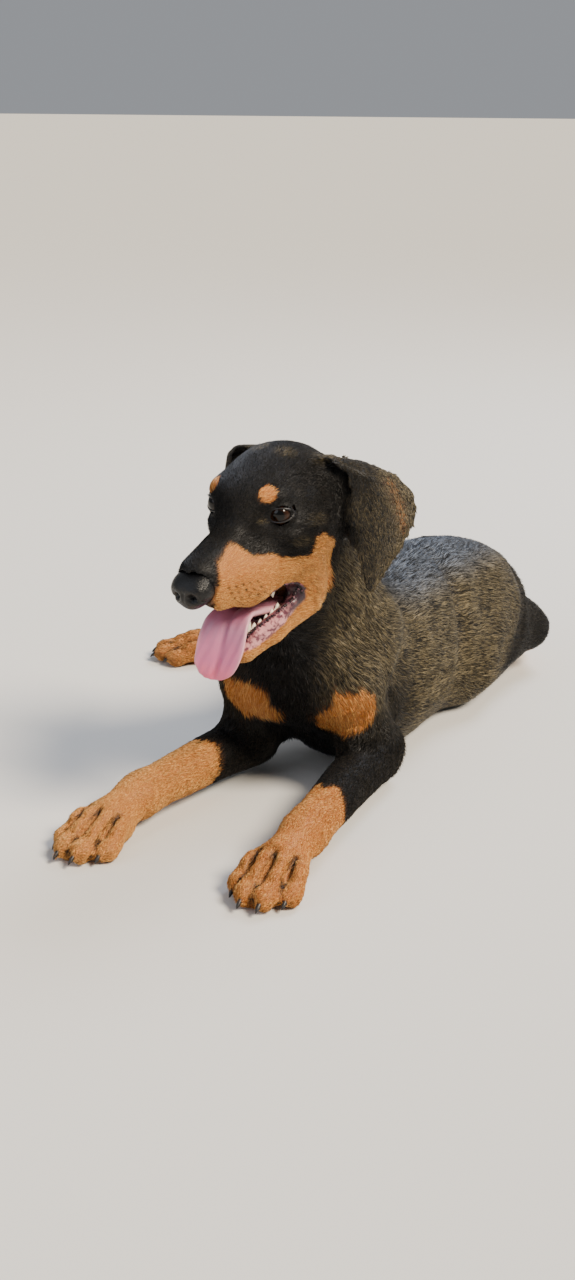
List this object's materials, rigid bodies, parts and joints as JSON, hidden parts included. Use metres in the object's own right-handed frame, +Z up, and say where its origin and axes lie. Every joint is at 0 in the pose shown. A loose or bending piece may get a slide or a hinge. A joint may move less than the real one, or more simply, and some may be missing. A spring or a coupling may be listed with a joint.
{
  "type": "doberman pinscher puppy",
  "caption": "Young black and tan pinscher-type dog lying down with its head up, mouth open and tongue out, drop ears, forelegs stretched ahead; a still life-size model.",
  "frame": {"origin": "on the floor, below the middle of the dog's bounding box", "axes": "+Z up, -Y where the nose points, +X the dog's left side"},
  "size_m": [0.3968, 0.6684, 0.3023],
  "materials": {
    "coat": "short sleek fur, black with tan markings",
    "eye": "wet and glossy",
    "nose": "damp, finely pebbled",
    "tongue": "wet",
    "tooth": "smooth enamel",
    "claw": "smooth dark horn"
  },
  "bodies": {
    "root": {"jaw": "coat", "head": "coat", "neck": "coat", "foreleg_left_paw": "coat", "foreleg_left_lower": "coat", "foreleg_left_upper": "coat", "foreleg_right_paw": "coat", "foreleg_right_lower": "coat", "foreleg_right_upper": "coat", "hindleg_right_paw": "coat", "hindleg_right_lower": "coat", "hindleg_right_upper": "coat", "hindleg_left_paw": "coat", "hindleg_left_lower": "coat", "hindleg_left_upper": "coat", "tail_tip": "coat", "tail_middle": "coat", "tail_root": "coat", "chest": "coat", "barrel": "coat", "rump": "coat", "eye_left": "eye", "eye_right": "eye", "nose": "nose", "tongue": "tongue", "ear_left": "coat", "ear_right": "coat"}
  },
  "joints": []
}
